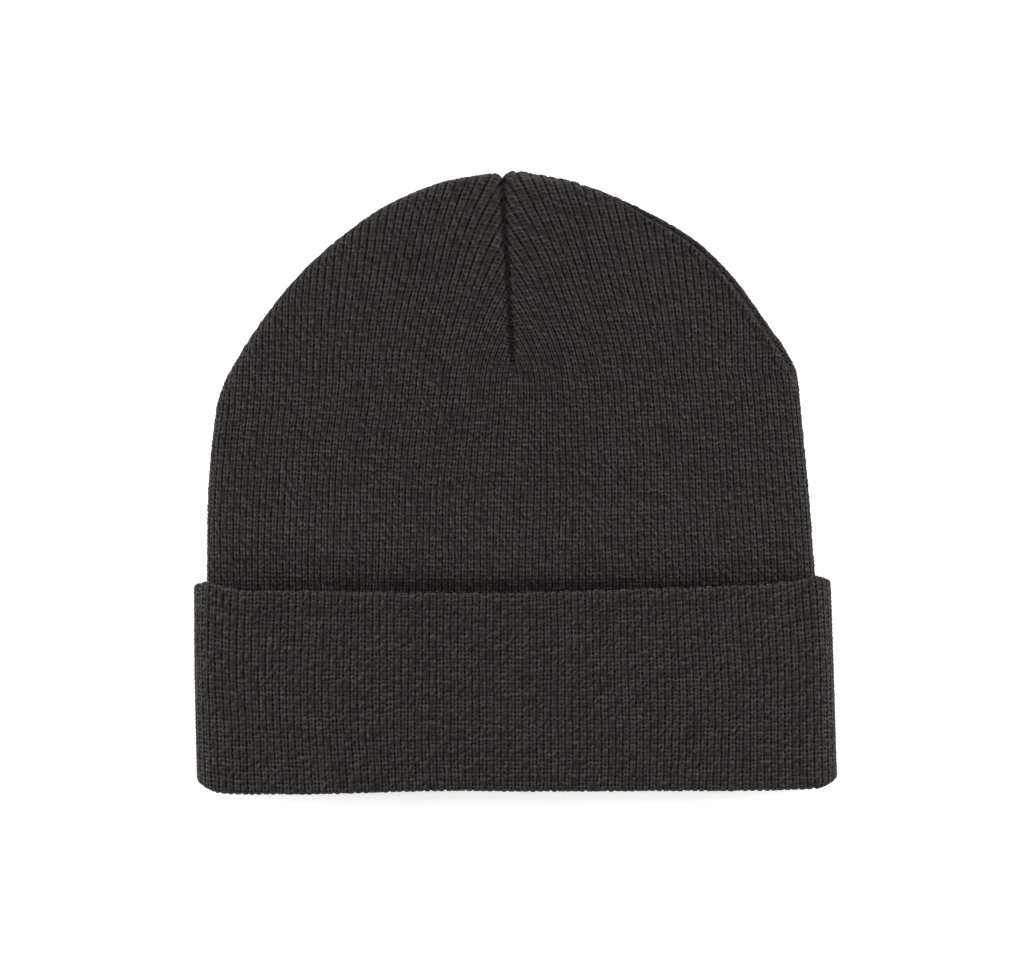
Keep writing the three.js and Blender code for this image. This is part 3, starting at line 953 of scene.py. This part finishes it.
# the cuff's knit on one side and face, from behind the hem to inside the fold
def cuffPanel(side, face):
    perRib, ribs = cuff["perRib"], cuff["ribsPerQuarter"]
    columns = ribs * perRib + 1
    share = np.linspace(0.0, 1.0, columns)[None, :]
    inset, y, marks = cuffWay(cuff["course"] * cuff["rowShare"])
    inset, y, marks = inset[:, None], y[:, None], marks[:, None]
    reach = np.abs(np.interp(y, columnOf(cuffSides, "y"), columnOf(cuffSides, side)))
    girth = reach - cuffHalf + cuffHalf * math.pi / 2
    middle = cuff["height"] / 2
    bow = cuff["barrel"] * ((y - middle) / middle) ** 2 * face * np.sin(math.pi * share)
    s = share * girth * (1.0 - bow)
    sway = driftOf(s, y, waveTurns["cuffDrift"] + face)
    sway = sway + wander(seedFor("cuffLines", side, face), ribs, perRib, marks[:, 0])
    s = s + sway * np.minimum(1.0, cuff["edgeEase"] * np.sin(math.pi * share))
    points = cuffPoint(side, face, s, inset, y)
    normals = gridNormals(points) * (-sides[side]["sign"] * face)
    phase = wander(seedFor("cuffStitches", side, face), ribs * 2, perRib // 2, marks[:, 0])
    phase = phase * unevenness["phase"]
    courses = marks / cuff["course"] + phase * edgeHold(columns, perRib)
    calm = (1.0 - cuff["calmHem"]) * nearHem(y, "calmHemFrom", "calmHemTo")
    calm = calm + (1.0 - cuff["calmFold"]) * (1.0 - easeStep(y, 0.0, cuff["calmFoldTo"]))
    ends = np.random.default_rng(seedFor("hemEnds", side, face)).uniform(-1.0, 1.0, ribs * 2 + 1)
    ends = np.interp(share[0] * ribs * 2, np.arange(ribs * 2 + 1), ends) * edgeHold(columns, perRib)
    points[..., 1] += cuff["hemUneven"] * ends * nearHem(y, "unevenFrom", "unevenTo")
    ribsAt = np.broadcast_to(share * ribs * sides[side]["sign"], points.shape[:2])
    relief = knitRelief(ribsAt, courses, perRib, seedFor("cuffRelief", side, face))
    lift = relief * (1.0 - calm)
    return {"points": points + normals * lift[..., None], "ribs": ribsAt, "courses": courses}


def makeCuff():
    sheets = {(side, face): cuffPanel(side, face) for face in faceNames for side in sides}
    joinAround(sheets)
    for face in faceNames:
        parts = [orderedSheet(sheets[side, face], facingOut(side, -face)) for side in sides]
        gridPiece("cuff_" + faceNames[face], parts, cuffKnit, ["cuff"])


makeCuff()

# Seam yarn
seamYarn = {
    "radius": 0.32,
    "sides": 8,
    "spacing": 0.4,
    "twistEvery": 2.4,
    "ply": 0.35,  # how much thicker it gets once in every half twist
    "wobble": 0.12,
    "taper": 1.2,  # length of its thin ends
    "tip": 0.05,
    "rise": 0.2,  # above the bottom of the seam
    "belowTop": 0.002,
    "topPoints": 420,
    "dartRadius": 0.28,
    "dartSink": 0.1,  # below the bottom of the crease
    "dartStart": 1.0,  # above the foot of the dart
    "dartEnd": 3.0,  # below the top
    "dartPoints": 260,
    "dark": (0.005, 0.0048, 0.0048, 1.0),
    "light": (0.017, 0.016, 0.016, 1.0),
    "grain": {"scale": (1400.0, 1400.0, 1400.0), "detail": 2.0},
    "roughness": 0.95,
}


def seamMaterial():
    material = bpy.data.materials.new("seam_yarn")
    nodes, links, add, _, mixed, _, noise = nodeMaker(material)
    shader = nodes["Principled BSDF"]
    place = add("ShaderNodeTexCoord").outputs["Object"]
    grain = noise(place, seamYarn["grain"]["scale"], seamYarn["grain"]["detail"])
    tone = mixed(grain, seamYarn["dark"], seamYarn["light"])
    links.new(tone, shader.inputs["Base Color"])
    shader.inputs["Roughness"].default_value = seamYarn["roughness"]
    return material


seamLook = seamMaterial()


# a twisted strand along a path, as a grid that closes round it
def strand(name, path, normals, radius):
    tangent = np.gradient(path, axis=0)
    tangent /= np.linalg.norm(tangent, axis=1, keepdims=True)
    sideways = np.cross(tangent, normals)
    sideways /= np.linalg.norm(sideways, axis=1, keepdims=True)
    length = lengthAlong(path)
    angle = np.linspace(0.0, 2 * math.pi, seamYarn["sides"] + 1)
    twist = 2 * math.pi * length / seamYarn["twistEvery"]
    thick = radius * (1.0 + seamYarn["ply"] * np.abs(np.sin(twist)))
    fromEnd = np.minimum(length, length[-1] - length)
    taper = np.minimum(1.0, fromEnd / seamYarn["taper"] + seamYarn["tip"])
    cosine, sine = np.cos(angle)[None, :, None], np.sin(angle)[None, :, None]
    around = cosine * sideways[:, None] + sine * normals[:, None]
    sway = (np.sin(twist * 0.5) * seamYarn["wobble"])[:, None] * sideways
    points = (path + sway)[:, None] + around * (thick * taper)[:, None, None]
    turns = np.broadcast_to(angle[None, :], points.shape[:2])
    lengths = np.broadcast_to(length[:, None], points.shape[:2])
    gridPiece(name, [(points, turns, lengths)], seamLook, [name])


# lies in the crease of a dart
def dartStrand(name, face):
    foot, end = darts["foot"] + seamYarn["dartStart"], hat["topY"] - seamYarn["dartEnd"]
    y = np.linspace(foot, end, seamYarn["dartPoints"])
    path = crownPoint("right", face, np.zeros_like(y), y, 0.0)
    lift = np.zeros_like(path)
    lift[:, 2] = face
    strand(name, path - lift * seamYarn["dartSink"], lift, seamYarn["dartRadius"])


# lies in the seam, from one shoulder over the top to the other
def topStrand():
    rows = []
    climb = 1.0 - (1.0 - np.linspace(0.0, 1.0, seamYarn["topPoints"])) ** 2
    for side in sides:
        start = sides[side]["shoulder"]
        y = start + (hat["topY"] - seamYarn["belowTop"] - start) * climb
        middle = crownPoint(side, 1, seamArc(side, 1, y, 0.0), y, 0.0)
        normal = seamDirection(side, y)
        depth = sideSeam["depth"] * seamStrength(side, y)
        rows.append((middle + normal * (seamYarn["rise"] - depth)[:, None], normal))
    path = np.vstack([rows[0][0], rows[1][0][::-1]])
    normal = np.vstack([rows[0][1], rows[1][1][::-1]])
    length = lengthAlong(path)
    marks = np.arange(0.0, length[-1], seamYarn["spacing"])
    path = np.stack([np.interp(marks, length, path[:, i]) for i in range(3)], axis=1)
    normal = np.stack([np.interp(marks, length, normal[:, i]) for i in range(3)], axis=1)
    normal /= np.linalg.norm(normal, axis=1, keepdims=True)
    strand("crown_seam", path, normal, seamYarn["radius"])


dartStrand("front_dart_seam", 1)
dartStrand("back_dart_seam", -1)
topStrand()

# Floor, light and camera
studio = {
    "photoWidth": 1024,
    "photoHeight": 956,
    "mmPerPixel": 0.34375,
    "scaleHeight": 0.006,  # above the floor, in metres, where that scale holds
    "hatMiddlePixel": 515.0,
    "foldPixel": 791.0,
    "lens": 135.0,
    "sensor": 36.0,
    "floorSize": 6.0,
    "floorGrey": 0.9,
    "floorGlow": 0.42,
    "sky": 0.68,
}
softboxes = [
    {"name": "high_softbox", "place": (0.0, 0.0, 1.2), "size": 0.9, "power": 1.4},
    {"name": "top_softbox", "place": (0.0, 1.1, 0.9), "size": 0.9, "power": 1.0},
    {"name": "left_softbox", "place": (-1.3, 0.3, 0.36), "size": 0.8, "power": 24.0},
    {"name": "right_softbox", "place": (1.3, 0.3, 0.36), "size": 0.8, "power": 24.0},
]


def makeFloor():
    grid = bmesh.new()
    bmesh.ops.create_grid(grid, x_segments=1, y_segments=1, size=studio["floorSize"] / 2)
    mesh = bpy.data.meshes.new("floor")
    grid.to_mesh(mesh)
    grid.free()
    floor = bpy.data.objects.new("floor", mesh)
    bpy.context.scene.collection.objects.link(floor)
    material = bpy.data.materials.new("white_paper")
    material.use_nodes = True
    shader = material.node_tree.nodes["Principled BSDF"]
    grey = studio["floorGrey"]
    shader.inputs["Base Color"].default_value = (grey, grey, grey, 1.0)
    shader.inputs["Roughness"].default_value = 1.0
    shader.inputs["Emission Color"].default_value = (1.0, 1.0, 1.0, 1.0)
    shader.inputs["Emission Strength"].default_value = studio["floorGlow"]
    mesh.materials.append(material)


# a square light that looks at the middle of the floor
def softLight(box):
    data = bpy.data.lights.new(box["name"], "AREA")
    data.shape = "SQUARE"
    data.size = box["size"]
    data.energy = box["power"]
    lamp = bpy.data.objects.new(box["name"], data)
    lamp.location = box["place"]
    lamp.rotation_euler = (Vector() - Vector(box["place"])).to_track_quat("-Z", "Y").to_euler()
    bpy.context.scene.collection.objects.link(lamp)


def makeLight():
    world = bpy.data.worlds.new("studio")
    world.use_nodes = True
    sky = world.node_tree.nodes["Background"]
    sky.inputs["Color"].default_value = (1.0, 1.0, 1.0, 1.0)
    sky.inputs["Strength"].default_value = studio["sky"]
    bpy.context.scene.world = world
    for box in softboxes:
        softLight(box)


def makeCamera():
    data = bpy.data.cameras.new("camera")
    data.lens = studio["lens"]
    data.sensor_width = studio["sensor"]
    field = studio["photoWidth"] * studio["mmPerPixel"] * mm
    camera = bpy.data.objects.new("camera", data)
    middleX = (studio["photoWidth"] / 2 - studio["hatMiddlePixel"]) * studio["mmPerPixel"] * mm
    middleY = (studio["foldPixel"] - studio["photoHeight"] / 2) * studio["mmPerPixel"] * mm + foldLine
    height = field * data.lens / data.sensor_width + studio["scaleHeight"]
    camera.location = (middleX, middleY, height)
    bpy.context.scene.collection.objects.link(camera)
    bpy.context.scene.camera = camera


makeFloor()
makeLight()
makeCamera()
bpy.context.scene.view_settings.view_transform = "Standard"
print("floor, light and camera made")
